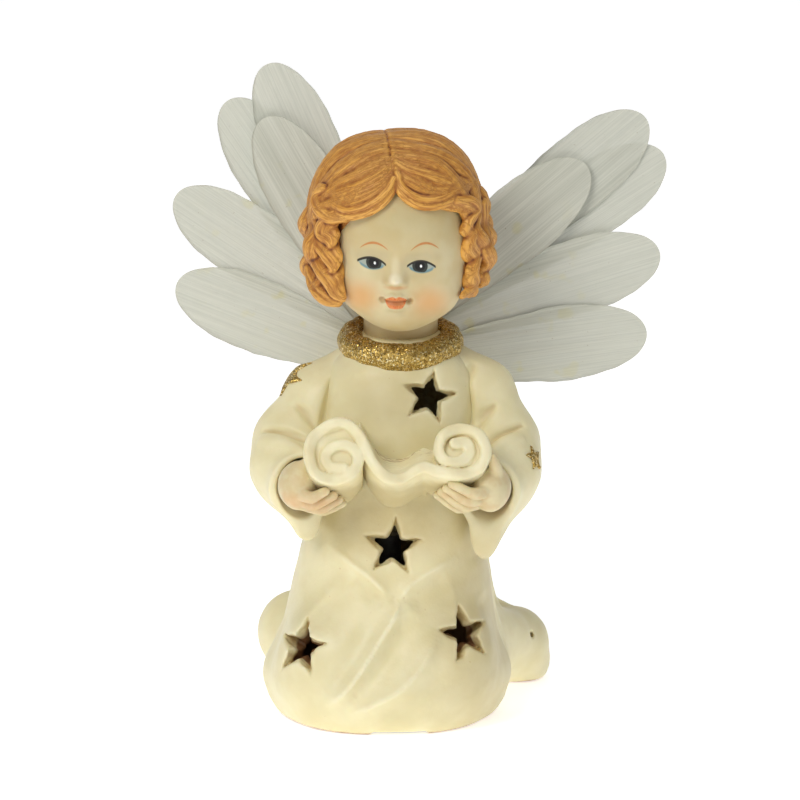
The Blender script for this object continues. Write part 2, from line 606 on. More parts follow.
def make_scroll():
    clay = Clay((-25, -4, -3), (27, 19, 22), 0.36)
    x, w, s = clay.x, clay.y, clay.z
    line = curve(RIGHT_ROLL + TROUGH + LEFT_ROLL, 190)
    flat = np.full((len(clay.axes[0]), len(clay.axes[1]), 1), FAR, np.float32)
    for (x0, w0), (x1, w1) in zip(line, line[1:]):
        d = rod_field(x, w, 0.0 * x, (x0, w0, 0), (x1, w1, 0), SHEET / 2, SHEET / 2)
        flat = np.minimum(flat, d)
    # the sheet thickens into a rounded lip at its front edge
    lip = 0.35 * np.exp(-(((s - 0.8) / 1.3) ** 2))
    clay.field = (flat - lip).astype(np.float32)
    edge = 0.5 * np.sin(x * 0.33 + 0.6) + 0.35 * np.sin(x * 0.71 + w * 0.2)
    rise = np.clip((w - 9) / 6, 0, 1) * (x < 0) * 1.2
    # shallow cores inside both rolls
    for cx, cw, rx, rw, sink in ((-14.9, 5.8, 5.8, 5.6, 1.5), (17.0, 7.7, 5.6, 5.8, 1.4)):
        core = np.sqrt(((x - cx) / rx) ** 2 + ((w - cw) / rw) ** 2)
        core = (core - 1) * min(rx, rw)
        clay.field = smooth_min(clay.field, np.maximum(core, sink - s), 0.5)
    neck = np.sqrt(((x + 14.6) / 5.0) ** 2 + ((w - 11.2) / 3.0) ** 2)
    clay.field = smooth_min(clay.field, np.maximum((neck - 1) * 3.0, 1.3 - s), 0.6)
    # leaves lying in the trough, level from the front edge back to the belly
    trough = np.interp(clay.axes[0], line[60:150, 0], line[60:150, 1])[:, None, None]
    level = w * math.cos(LEAN) - s * math.sin(LEAN)
    top = trough * math.cos(LEAN) + 0.35
    pages = np.maximum(level - top, trough - w)
    pages = np.maximum(pages, np.maximum(-8.6 - x, x - 11.0))
    pages = np.maximum(pages, 1.0 - s)
    back = w * math.sin(LEAN) + s * math.cos(LEAN)
    score = np.clip((back - 5.5) / 2, 0, 1) * 0.22 * np.cos(2 * math.pi * (back + 0.02 * x * x) / 1.7)
    pages = pages + score
    clay.field = smooth_min(clay.field, pages, 0.5)
    front = -s + edge - rise - 0.2
    clay.trim(front, 1.0)
    end = np.where(np.abs(x) > 8.4, s - 17.2, s - 20.5)
    clay.trim(end, 0.8)
    clay.roughen(0.12, 51, 6.0)
    piece = clay.mesh("scroll_sheet", "scroll", "cream_resin", reach=0.9)
    data = piece.data
    co = np.empty(len(data.vertices) * 3)
    data.vertices.foreach_get("co", co)
    world = scroll_frame(co.reshape(-1, 3) / MM) * MM
    data.vertices.foreach_set("co", world.ravel())
    data.flip_normals()
    data.update()


make_scroll()

# ---- hands ----

FINGER_SIZES = (1.0, 1.04, 1.0, 0.86)


def make_hand(name, node, palm, palm_radii, wrist, fingers, thumb):
    points = [p for finger in fingers for p in finger] + [palm, wrist] + list(thumb)
    clay = Clay(np.min(points, axis=0) - 8, np.max(points, axis=0) + 8, 0.28)
    clay.rod(wrist, palm, 4.6, 5.0, 1.0)
    clay.ball(palm, palm_radii, 2.5)
    for finger, size in zip(fingers, FINGER_SIZES):
        path = curve(finger, 9)
        radii = np.linspace(1.75, 1.15, 9) * size
        radii[4] *= 1.06
        clay.strand(path, radii, 0.28)
    path = curve(thumb, 7)
    clay.strand(path, np.linspace(1.9, 1.3, 7), 0.8)
    clay.roughen(0.06, 61, 4.0)
    clay.mesh(name, node, "painted_skin", reach=0.7)


make_hand(
    "right_hand_skin", "right_hand", (-23.8, -26.6, 64.0), (4.3, 5.8, 6.0), (-24.2, -14.0, 61.5),
    (
        ((-24.2, -30.5, 63.2), (-20.8, -33.6, 62.6), (-17.2, -33.4, 64.2)),
        ((-23.6, -28.6, 61.0), (-19.8, -31.8, 60.6), (-15.2, -31.6, 62.6)),
        ((-22.8, -26.4, 59.2), (-18.6, -29.4, 58.8), (-13.8, -29.2, 61.0)),
        ((-21.8, -24.0, 58.2), (-17.4, -26.8, 57.6), (-12.8, -26.6, 59.4)),
    ),
    ((-25.0, -27.0, 66.0), (-23.4, -27.6, 68.6), (-21.4, -27.0, 70.4)),
)
make_hand(
    "left_hand_skin", "left_hand", (24.0, -26.8, 63.6), (4.3, 6.0, 6.0), (24.6, -14.0, 60.2),
    (
        ((24.6, -30.4, 64.2), (20.2, -33.6, 63.6), (14.6, -33.0, 66.0)),
        ((24.0, -28.6, 62.2), (19.0, -32.0, 61.4), (13.2, -31.2, 64.4)),
        ((23.2, -26.4, 60.4), (17.6, -29.8, 59.6), (12.0, -29.2, 63.0)),
        ((22.0, -24.2, 59.2), (16.0, -27.4, 58.4), (10.8, -26.8, 61.6)),
    ),
    ((26.0, -28.0, 66.0), (25.4, -30.0, 69.4), (24.4, -30.5, 72.2)),
)

# ---- head and neck ----

head = Clay((-19, -26, 87), (22, 21, 147), 0.34)
head.ball((1.3, 0.0, 126.0), (18.0, 18.8, 19.5), 1.0)
head.ball((2.0, -3.2, 117.6), (16.7, 16.6, 16.8), 6.0)
head.ball((-6.6, -10.8, 110.6), (6.0, 5.8, 5.8), 5.0)
head.ball((9.8, -10.8, 110.0), (6.0, 5.8, 5.8), 5.0)
head.ball((1.4, -12.4, 106.0), (7.6, 5.8, 5.4), 5.0)
head.ball((1.3, -9.5, 130.0), (12.5, 10.0, 9.5), 5.0)
# eye sockets, then the lids over the eyes
for cx, cz in ((-5.2, 119.4), (6.7, 118.6)):
    head.ball((cx, -22.4, cz), (5.0, 3.6, 3.4), 2.6, carve=True)
    head.ball((cx, -14.5, cz - 0.1), (4.0, 4.1, 2.8), 1.0)
# nose
head.rod((0.4, -16.8, 120.5), (0.4, -19.6, 115.8), 0.8, 1.4, 2.6)
head.ball((0.4, -20.3, 115.1), (1.6, 1.7, 1.35), 1.0)
head.ball((-1.3, -19.2, 114.6), (1.15, 1.5, 1.0), 0.8)
head.ball((2.1, -19.2, 114.4), (1.15, 1.5, 1.0), 0.8)
head.ball((-0.7, -20.7, 113.7), (0.5, 0.6, 0.35), 0.4, carve=True)
head.ball((1.7, -20.7, 113.5), (0.5, 0.6, 0.35), 0.4, carve=True)
# mouth
head.ball((0.5, -17.2, 109.6), (4.0, 2.4, 2.7), 2.4)
head.rod((-2.4, -18.6, 110.2), (-0.4, -19.5, 110.8), 0.5, 0.75, 0.8)
head.rod((-0.4, -19.5, 110.8), (0.5, -19.65, 110.5), 0.75, 0.65, 0.8)
head.rod((0.5, -19.65, 110.5), (1.4, -19.5, 110.7), 0.65, 0.75, 0.8)
head.rod((1.4, -19.5, 110.7), (3.5, -18.6, 109.9), 0.75, 0.5, 0.8)
head.rod((-1.3, -18.9, 108.9), (0.5, -19.4, 108.4), 0.8, 1.05, 1.0)
head.rod((0.5, -19.4, 108.4), (2.4, -18.9, 108.7), 1.05, 0.8, 1.0)
head.ridge(((-2.8, -18.8, 109.9), (-0.7, -20.1, 109.7), (0.5, -20.3, 109.5), (1.8, -20.1, 109.6),
            (3.9, -18.8, 109.5)), 0.45, 0.4, carve=True)
head.ball((-2.9, -18.7, 110.0), (0.8, 0.8, 0.7), 0.7, carve=True)
head.ball((3.9, -18.7, 109.6), (0.8, 0.8, 0.7), 0.7, carve=True)
head.ball((0.5, -19.5, 106.2), (2.4, 0.8, 0.6), 1.2, carve=True)
head.ball((0.5, -21.4, 112.4), (0.5, 0.9, 0.9), 0.6, carve=True)
# neck
head.rod((1.6, 1.0, 89.5), (1.8, 1.5, 110.0), 9.3, 9.3, 0.8)
head.field = np.maximum(head.field, 89.0 - head.z)
head.roughen(0.05, 71, 6.0)
head.mesh("head_skin", "head", "painted_skin", reach=1.0)

# ---- hair ----

HAIR_C = np.array((0.5, 0.3, 126.0))
HAIR_R = np.array((20.3, 20.2, 21.2))
HAIR_POWER = 2.25


def hair_spot(direction, lift=0.0):
    """Point on the cap of hair in a direction from its middle."""
    d = np.array(direction, dtype=float)
    d = d / np.linalg.norm(d)
    reach = (np.sum(np.abs(d / HAIR_R) ** HAIR_POWER)) ** (-1 / HAIR_POWER)
    return HAIR_C + d * (reach + lift)


def slerp(a, b, t):
    a, b = a / np.linalg.norm(a), b / np.linalg.norm(b)
    angle = math.acos(float(np.clip(a @ b, -1, 1)))
    return (math.sin((1 - t) * angle) * a + math.sin(t * angle) * b) / math.sin(angle)


def swelling(steps, ends, start=0.5, stop=2.9):
    """Thickness along a strand: 1 in the middle, less towards its ends."""
    return ends + (1 - ends) * np.sin(np.linspace(start, stop, steps))


class Hair:
    """Clay with combed strands; it remembers where they run, for the fine grooves."""

    def __init__(self, low, high, cell):
        self.clay = Clay(low, high, cell)
        self.runs = []

    def strand(self, path, radii, k=0.3):
        self.clay.strand(path, radii, k)
        self.runs.append(np.array(path))

    def bundle(self, upper, lower, count, radius, rng, lift, steps=16):
        """A lock of hair: strands side by side between two edge curves, swollen in the middle."""
        a, b = curve(upper, steps), curve(lower, steps)
        for number in range(count):
            w = (number + 0.5) / count
            path = a * (1 - w) + b * w
            out = path - HAIR_C
            out = out / np.linalg.norm(out, axis=1)[:, None]
            t = np.linspace(0, 1, steps)
            swell = lift * math.sin(math.pi * w) ** 0.7 * (0.35 + 0.65 * np.sin(t * math.pi * 0.9 + 0.2))
            path = path + out * (swell + rng.uniform(-0.12, 0.16))[:, None]
            size = radius * rng.uniform(0.85, 1.15)
            self.strand(path, size * swelling(steps, 0.5, 0.3, math.pi - 0.35))

    def lanes(self, points):
        """Sideways and lengthwise place of each point along its nearest strand."""
        centres, tangents, lengths, numbers = [], [], [], []
        for number, run in enumerate(self.runs):
            step = np.gradient(run, axis=0)
            size = np.linalg.norm(step, axis=1)
            centres.append(run)
            tangents.append(step / size[:, None])
            lengths.append(np.cumsum(size))
            numbers.append(np.full(len(run), number))
        centres, tangents = np.vstack(centres), np.vstack(tangents)
        lengths, numbers = np.concatenate(lengths), np.concatenate(numbers)
        tree = KDTree(len(centres))
        for i, c in enumerate(centres):
            tree.insert(c, i)
        tree.balance()
        nearest = np.array([tree.find(p)[1] for p in points])
        c, t = centres[nearest], tangents[nearest]
        off = points - c
        out = c - HAIR_C
        side = np.cross(t, out / np.linalg.norm(out, axis=1)[:, None])
        across = np.einsum("ij,ij->i", off, side) + 5.3 * numbers[nearest]
        along = np.einsum("ij,ij->i", off, t) + lengths[nearest]
        return np.stack([across, along, 0 * along], axis=1)


def on_cap(pairs, out):
    """Points on the front of the cap at each (x, z), brought forward by out."""
    points = []
    for x, z in pairs:
        u, w = (x - HAIR_C[0]) / HAIR_R[0], (z - HAIR_C[2]) / HAIR_R[2]
        depth = max(0.02, 1 - abs(u) ** HAIR_POWER - abs(w) ** HAIR_POWER) ** (1 / HAIR_POWER)
        points.append((x, HAIR_C[1] - HAIR_R[1] * depth - out, z))
    return points


CAP_STRANDS, CAP_STEPS = 8, 18
# where the locks of each side meet along the parting, in degrees from the forehead
CAP_EDGES = (
    (-1, (33, 47, 60, 77, 92, 112, 133, 158, 186)),
    (1, (33, 50, 66, 80, 98, 115, 138, 160, 186)),
)
# directions in which strands end, for some of those angles
CAP_ENDS = (
    (34, (0.80, -0.55, 0.24)), (60, (0.93, -0.34, 0.06)), (90, (0.97, -0.05, -0.12)),
    (120, (0.86, 0.38, -0.26)), (150, (0.60, 0.66, -0.40)), (185, (0.22, 0.84, -0.48)),
)


def cap_directions(angle, side):
    """Directions in which a strand leaves the parting and ends low on the head."""
    angles = [row[0] for row in CAP_ENDS]
    end = np.array([np.interp(angle, angles, [row[1][i] for row in CAP_ENDS]) for i in range(3)])
    end[0] *= side
    a = math.radians(angle)
    part = -0.03 - 0.10 * min(1.0, max(0.0, (angle - 40) / 60)) + side * 0.035
    return np.array((part, -math.cos(a), math.sin(a))), end


def comb_cap(hair, rng):
    """Wavy locks combed from the parting to both sides of the head."""
    locks = [(side, pair) for side, edges in CAP_EDGES for pair in zip(edges, edges[1:])]
    for side, (first, last) in locks:
        phase = rng.uniform(0, 2 * math.pi)
        wave = rng.uniform(0.05, 0.09)
        pace = rng.uniform(4.2, 6.0)
        for number in range(CAP_STRANDS):
            w = (number + 0.5) / CAP_STRANDS
            start, end = cap_directions(first + (last - first) * w, side)
            bend = np.cross(end, start) * side
            path = []
            for step in range(CAP_STEPS):
                t = step / (CAP_STEPS - 1)
                sway = wave * math.sin(pace * t + phase + 0.5 * w) * min(1, 3 * t)
                d = slerp(start, end, t) + bend * sway - bend * (0.10 * (w - 0.5) * t * t)
                crown = 1.15 * math.sin(math.pi * w) ** 0.8 * min(1.0, 0.3 + 2.2 * t)
                ripple = 0.45 * math.sin(1.6 * pace * t + phase + 1.2 * w) * t
                path.append(hair_spot(d, crown + ripple + rng.uniform(-0.05, 0.05)))
            size = rng.uniform(0.95, 1.3)
            hair.strand(path, size * swelling(CAP_STEPS, 0.6, 0.25, 2.8))


CURL_LOCKS, CURL_STRANDS, CURL_STEPS = 12, 4, 22
CURL_PITCH, STRAND_PITCH = 10.6, 3.3    # degrees between locks, and between strands of one
# how far the sides of the hair reach from the middle of the head at some heights
SIDE_HEIGHTS = (102, 106, 110, 116, 122, 128, 134)
SIDE_REACH = (15.5, 18.3, 20.6, 21.6, 21.8, 21.4, 19.6)


def comb_sides(hair, rng):
    """Thick curls down both temples and round the nape."""
    locks = [(side, first, lock) for side, first in ((-1, 56.0), (1, 66.0)) for lock in range(CURL_LOCKS)]
    for side, first, lock in locks:
        angle = first + CURL_PITCH * lock + rng.uniform(-2, 2)
        phase = rng.uniform(0, 2 * math.pi)
        top = rng.uniform(130.5, 134.0)
        low = rng.uniform(108.5, 110.5) if lock < CURL_LOCKS / 2 else rng.uniform(103.5, 107.5)
        swing = rng.uniform(4.0, 8.5)
        pitch = rng.uniform(10.0, 19.0)
        proud = rng.uniform(-0.4, 1.5)
        for strand in range(CURL_STRANDS):
            place = strand - (CURL_STRANDS - 1) / 2
            path = []
            for step in range(CURL_STEPS):
                t = step / (CURL_STEPS - 1)
                height = top + (low - top) * t
                turn = phase + 2 * math.pi * (top - height) / pitch
                sway = swing * (math.sin(turn) + 0.5 * math.sin(1.7 * turn + angle)) * (0.4 + 0.6 * t)
                theta = math.radians(angle + place * STRAND_PITCH * (1 - 0.45 * t) + sway)
                reach = np.interp(height, SIDE_HEIGHTS, SIDE_REACH)
                reach = reach - 0.9 + proud + 1.5 * math.cos(turn) * (0.6 + 0.4 * t)
                reach = reach + 0.55 * math.cos(math.pi * place / 2.2)
                reach = reach - 1.6 * max(0, t - 0.7) ** 1.2
                path.append((
                    HAIR_C[0] + 0.4 + side * reach * math.sin(theta),
                    HAIR_C[1] - reach * 0.98 * math.cos(theta),
                    height,
                ))
            size = rng.uniform(1.2, 1.9)
            hair.strand(path, size * swelling(CURL_STEPS, 0.35))


# upper and lower edge of each big wave as (x, z); scale and shift of x for the lip above the lower
WAVES = (
    (
        ((-0.3, 144.6), (-4.1, 142.3), (-8.2, 140.3), (-12.8, 138.2), (-16.4, 136.3), (-18.9, 135.2)),
        ((0.2, 139.2), (-1.3, 136.8), (-4.0, 134.4), (-8.0, 132.3), (-12.6, 131.2), (-16.8, 132.6)),
        0.97, -0.2,
    ),
    (
        ((0.5, 144.7), (4.1, 143.8), (9.1, 142.6), (13.2, 140.4), (17.3, 138.0), (20.2, 136.4)),
        ((0.6, 140.3), (2.0, 137.3), (6.0, 134.7), (11.2, 134.2), (15.6, 135.2), (19.4, 136.0)),
        0.98, 0.2,
    ),
)
CURL_OVAL = (21.6, 21.2)    # half width and depth of the oval that the front curls lie on
CURLS = (
    ((-12.0, 130.6), (-15.6, 130.6), (-18.2, 132.4), (-19.0, 135.0), (-17.8, 136.8)),
    ((-14.8, 131.4), (-17.2, 129.0), (-17.6, 126.4), (-15.2, 124.4), (-16.6, 121.6)),
    ((-20.4, 126.6), (-18.8, 123.6), (-16.2, 121.0), (-14.6, 118.2), (-16.8, 115.8)),
    ((-20.6, 119.4), (-18.2, 116.6), (-15.6, 114.2), (-14.2, 111.4), (-12.6, 109.6)),
    ((-21.4, 114.4), (-19.4, 111.6), (-16.6, 109.4), (-13.6, 108.2)),
    ((15.6, 134.4), (18.4, 132.4), (19.6, 129.6), (18.0, 127.0), (19.4, 124.2)),
    ((20.8, 128.4), (19.4, 125.0), (18.4, 121.6), (19.8, 118.4), (18.4, 115.6)),
    ((21.6, 120.0), (20.0, 117.0), (19.0, 113.8), (19.6, 111.0), (17.0, 109.6)),
)


def comb_waves(hair, rng):
    """The two big waves swept off the forehead, with a rolled lip along each lower edge."""
    for upper, lower, *_ in WAVES:
        hair.bundle(on_cap(upper, 0.5), on_cap(lower, 1.0), count=9, radius=1.15, rng=rng, lift=1.3)
    for _, lower, narrowing, shift in WAVES:
        raised = [(px * narrowing + shift, pz + 1.5) for px, pz in lower]
        for points, out, radius in ((lower, 1.5, 1.35), (raised, 2.1, 1.1)):
            hair.strand(curve(on_cap(points, out), 20), radius * swelling(20, 0.55, 0.2))


def comb_curls(hair):
    """Turned-up ends of the waves, and the curls beside the eyes."""
    for points in CURLS:
        for shift in (-1.4, 0.1, 1.6):
            path = []
            for number, (px, pz) in enumerate(points):
                near = abs(px - HAIR_C[0]) / CURL_OVAL[0]
                depth = CURL_OVAL[1] * math.sqrt(max(0.03, 1 - near * near))
                spread = shift * math.sin(math.pi * (0.08 + 0.84 * number / (len(points) - 1)))
                y = HAIR_C[1] - depth - 0.4 * math.cos(shift)
                path.append((px + 0.5 * spread, y, pz + spread * 0.9))
            hair.strand(curve(path, 20), 1.5 * swelling(20, 0.3, stop=2.95))


def make_hair():
    rng = np.random.default_rng(5)
    hair = Hair((-28, -26, 98), (30, 27, 152), 0.33)
    clay = hair.clay
    x, y, z = clay.x, clay.y, clay.z
    ring = (np.abs((x - HAIR_C[0]) / HAIR_R[0]) ** HAIR_POWER
            + np.abs((y - HAIR_C[1]) / HAIR_R[1]) ** HAIR_POWER
            + np.abs((z - HAIR_C[2]) / HAIR_R[2]) ** HAIR_POWER) ** (1 / HAIR_POWER)
    rho = np.sqrt((x - HAIR_C[0]) ** 2 + (y - HAIR_C[1]) ** 2 + (z - HAIR_C[2]) ** 2)
    front = np.clip(-y / 8.0, 0, 1)
    below = np.clip((130.0 + 4.0 * front - z) / 8.0, 0, 1)
    inset = 0.3 + 0.2 * front + (1.4 + 0.4 * front) * below
    clay.field = (rho * (1 - 1 / np.maximum(ring, 0.05)) + inset).astype(np.float32)
    clay.ball((1.0, 4.5, 115.5), (17.2, 13.5, 12.0), 3.0)
    # open round the face
    face = ball_field(x, y, z, (2.2, -23.0, 116.5), (16.8, 14.0, 19.0))
    clay.trim(-face, 1.0)
    clay.field = np.maximum(clay.field, 103.0 - z).astype(np.float32)
    comb_cap(hair, rng)
    comb_sides(hair, rng)
    comb_waves(hair, rng)
    comb_curls(hair)
    clay.roughen(0.05, 81, 2.2)
    clay.mesh("hair_waves", "hair", "painted_hair", reach=0.8, lanes=hair.lanes)


make_hair()

# ---- collar ----

COLLAR_C = (1.6, 0.0, 94.6)
COLLAR_R = 12.3
COLLAR_TUBE = 3.45
COLLAR_TILT = math.radians(6.0)


def make_collar():
    clay = Clay((-16, -18, 88), (19, 18, 102), 0.34)
    x, y, z = clay.x - COLLAR_C[0], clay.y - COLLAR_C[1], clay.z - COLLAR_C[2]
    v = y * math.cos(COLLAR_TILT) + z * math.sin(COLLAR_TILT)
    w = -y * math.sin(COLLAR_TILT) + z * math.cos(COLLAR_TILT)
    ring = np.sqrt(x * x + v * v) - COLLAR_R - 0.35 * waves(x, y, z, 91, 16.0)
    clay.field = (np.sqrt(ring * ring + (w * 0.96) ** 2) - COLLAR_TUBE).astype(np.float32)
    clay.field += (0.22 * waves(x, y, z, 92, 5.0) + 0.10 * waves(x, y, z, 93, 1.5, 14)).astype(np.float32)
    clay.mesh("collar_glitter", "collar", "gold_glitter", reach=0.8)


make_collar()

# ---- wings: petals of thin film ----

WING_ROOT = np.array((-2.0, 17.5, 91.7))
SWEEP = math.radians(10.0)
RECLINE = math.radians(12.0)
FILM = 0.35
LAYER_PITCH = 0.7
TIP_HALF = 9.3
TIP_LONG = 24.0
TIP_POWER = 2.6
ROOT_HALF = 3.5
STRAIGHT_ROWS, TIP_ROWS, COLUMNS = 40, 24, 16
LEFT_PETALS = (
    (38.0, 84.0, 0.0, 3), (30.8, 82.6, 0.0, 4), (14.5, 72.0, 0.0, 2), (5.2, 66.6, 8.0, 1),
    (38.5, 65.0, 0.0, 0),
)
RIGHT_PETALS = (
    (65.2, 73.2, 0.0, 3), (54.3, 70.0, 0.0, 4), (31.4, 62.8, 0.0, 2), (18.7, 56.3, 7.5, 1),
    (59.5, 61.4, 0.0, 0),
)


def wing_axes(side):
    out = np.array((side * math.cos(SWEEP), math.sin(SWEEP), 0.0))
    up = np.array((0.0, math.sin(RECLINE), math.cos(RECLINE)))
    front = np.cross(out, up) * side
    return out, up, front / np.linalg.norm(front)


def petal_half_width(u, length):
    """Half width of a petal u along its length: straight sides, then a long round tip."""
    shoulder = length - TIP_LONG
    if u <= shoulder:
        return ROOT_HALF + (TIP_HALF - ROOT_HALF) * (u / shoulder) ** 0.85
    return TIP_HALF * math.sqrt(max(0.0, 1 - ((u - shoulder) / TIP_LONG) ** TIP_POWER))


def make_petal(side, number, angle, length, drop, layer):
    rng = np.random.default_rng(100 + number + (10 if side > 0 else 0))
    out, up, front = wing_axes(side)
    lean = math.radians(angle)
    along = out * math.cos(lean) + up * math.sin(lean)
    across = np.cross(front, along)
    root = WING_ROOT - up * drop - front * (LAYER_PITCH * layer)
    shoulder = length - TIP_LONG
    us = list(np.linspace(0, shoulder, STRAIGHT_ROWS))
    turns = [math.pi / 2 * k / TIP_ROWS for k in range(1, TIP_ROWS + 1)]
    us += [shoulder + TIP_LONG * math.sin(turn) * 0.9998 for turn in turns]
    middle = WING_ROOT[0] + side * 0.15
    phases = rng.uniform(0, 6.28, 4)
    points, grain = [], []
    for skin in (0, 1):
        for u in us:
            half = petal_half_width(u, length)
            half *= 1 + 0.012 * math.sin(u * 0.35 + phases[0]) + 0.008 * math.sin(u * 1.1 + phases[1])
            for c in range(COLUMNS + 1):
                w = half * (2 * c / COLUMNS - 1)
                wave = 0.16 * math.sin(u * 0.11 + phases[2]) * (w / TIP_HALF) ** 2
                wave += 0.05 * math.sin(w * 1.3 + phases[3])
                fade = min(1.0, u / 15.0)
                depth = (wave * fade) - FILM * skin
                p = root + along * u + across * w + front * depth
                if (p[0] - middle) * side < 0:
                    p[0] = middle
                points.append(p * MM)
                grain.append((w, u, number * 7.0 + (40.0 if side > 0 else 0.0)))
    width = COLUMNS + 1
    block = len(us) * width
    faces = []
    for r in range(len(us) - 1):
        for c in range(COLUMNS):
            i = r * width + c
            faces.append((i, i + 1, i + 1 + width, i + width))
            j = i + block
            faces.append((j, j + width, j + 1 + width, j + 1))
    rim = [r * width for r in range(len(us))]
    rim += [(len(us) - 1) * width + c for c in range(1, width)]
    rim += [r * width + COLUMNS for r in range(len(us) - 2, -1, -1)]
    rim += list(range(COLUMNS - 1, 0, -1))
    for a, b in zip(rim, rim[1:] + rim[:1]):
        faces.append((b, a, a + block, b + block))
    if side < 0:
        faces = [f[::-1] for f in faces]
    hand = "left" if side > 0 else "right"
    data = bpy.data.meshes.new(f"{hand}_petal_film_{number}")
    data.from_pydata([tuple(p) for p in points], [], faces)
    store(data, "grain", np.array(grain))
    data.validate()
    return add_piece(f"{hand}_petal_film_{number}", f"{hand}_wing_petal_{number}", data)


petals = [
    make_petal(side, number, *row)
    for side, rows in ((1, LEFT_PETALS), (-1, RIGHT_PETALS)) for number, row in enumerate(rows, 1)
]


def make_glue(side):
    """Lumpy pad of glue between the robe and the front petal, with a run down the back."""
    name = "left" if side > 0 else "right"
    low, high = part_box(f"{name}_wing_glue")
    low, high = np.array(low) / MM, np.array(high) / MM
    clay = Clay(low - 3, high + 3, 0.4)
    centre = (low + high) / 2
    clay.ball(centre + (0, 0.5, 0), (high - low) / 2, 1.0)
    for dx, dz, r in ((-1.5, 2.6, 2.0), (1.6, 1.4, 2.3), (0.2, -3.0, 2.2), (side * 1.6, -1.0, 2.6)):
        clay.ball(centre + (dx, 1.2, dz), (r, 2.0, r), 1.4)
    front = wing_axes(side)[2]
    plane = along_axis(clay.x, clay.y, clay.z, WING_ROOT, front)
    clay.trim(0.08 - plane, 0.3)
    clay.roughen(0.2, 95 + side, 3.0)
    return clay.mesh(f"{name}_glue_pad", f"{name}_wing_glue", "yellow_glue", reach=0.8)


glue_pieces = [make_glue(1), make_glue(-1)]

# ---- finishes ----


class Formula:
    """A shader value that can be written as an ordinary formula."""

    def __init__(self, finish, socket):
        self.finish = finish
        self.socket = socket

    def op(self, operation, *others):
        node = self.finish.node("ShaderNodeMath", operation=operation)
        for slot, value in zip(node.inputs, (self,) + others):
            self.finish.feed(slot, value)
        return Formula(self.finish, node.outputs[0])

    def __add__(self, other):
        return self.op("ADD", other)

    def __sub__(self, other):
        return self.op("SUBTRACT", other)

    def __mul__(self, other):
        return self.op("MULTIPLY", other)

    def __truediv__(self, other):
        return self.op("DIVIDE", other)

    def __neg__(self):
        return self * -1.0

    __radd__ = __add__
    __rmul__ = __mul__

    def __rsub__(self, other):
        return -self + other

    def larger(self, other):
        return self.op("MAXIMUM", other)

    def root(self):
        return self.op("SQRT")

    def size(self):
        return self.op("ABSOLUTE")

    def sine(self):
        return self.op("SINE")

    def rise(self, low, high):
        """0 below low, 1 above high, smooth between; low above high makes it fall."""
        node = self.finish.node("ShaderNodeMapRange", interpolation_type="SMOOTHSTEP")
        self.finish.feed(node.inputs["Value"], self)
        ends = (high, low, 1.0, 0.0) if low > high else (low, high, 0.0, 1.0)
        for name, value in zip(("From Min", "From Max", "To Min", "To Max"), ends):
            node.inputs[name].default_value = value
        return Formula(self.finish, node.outputs["Result"])


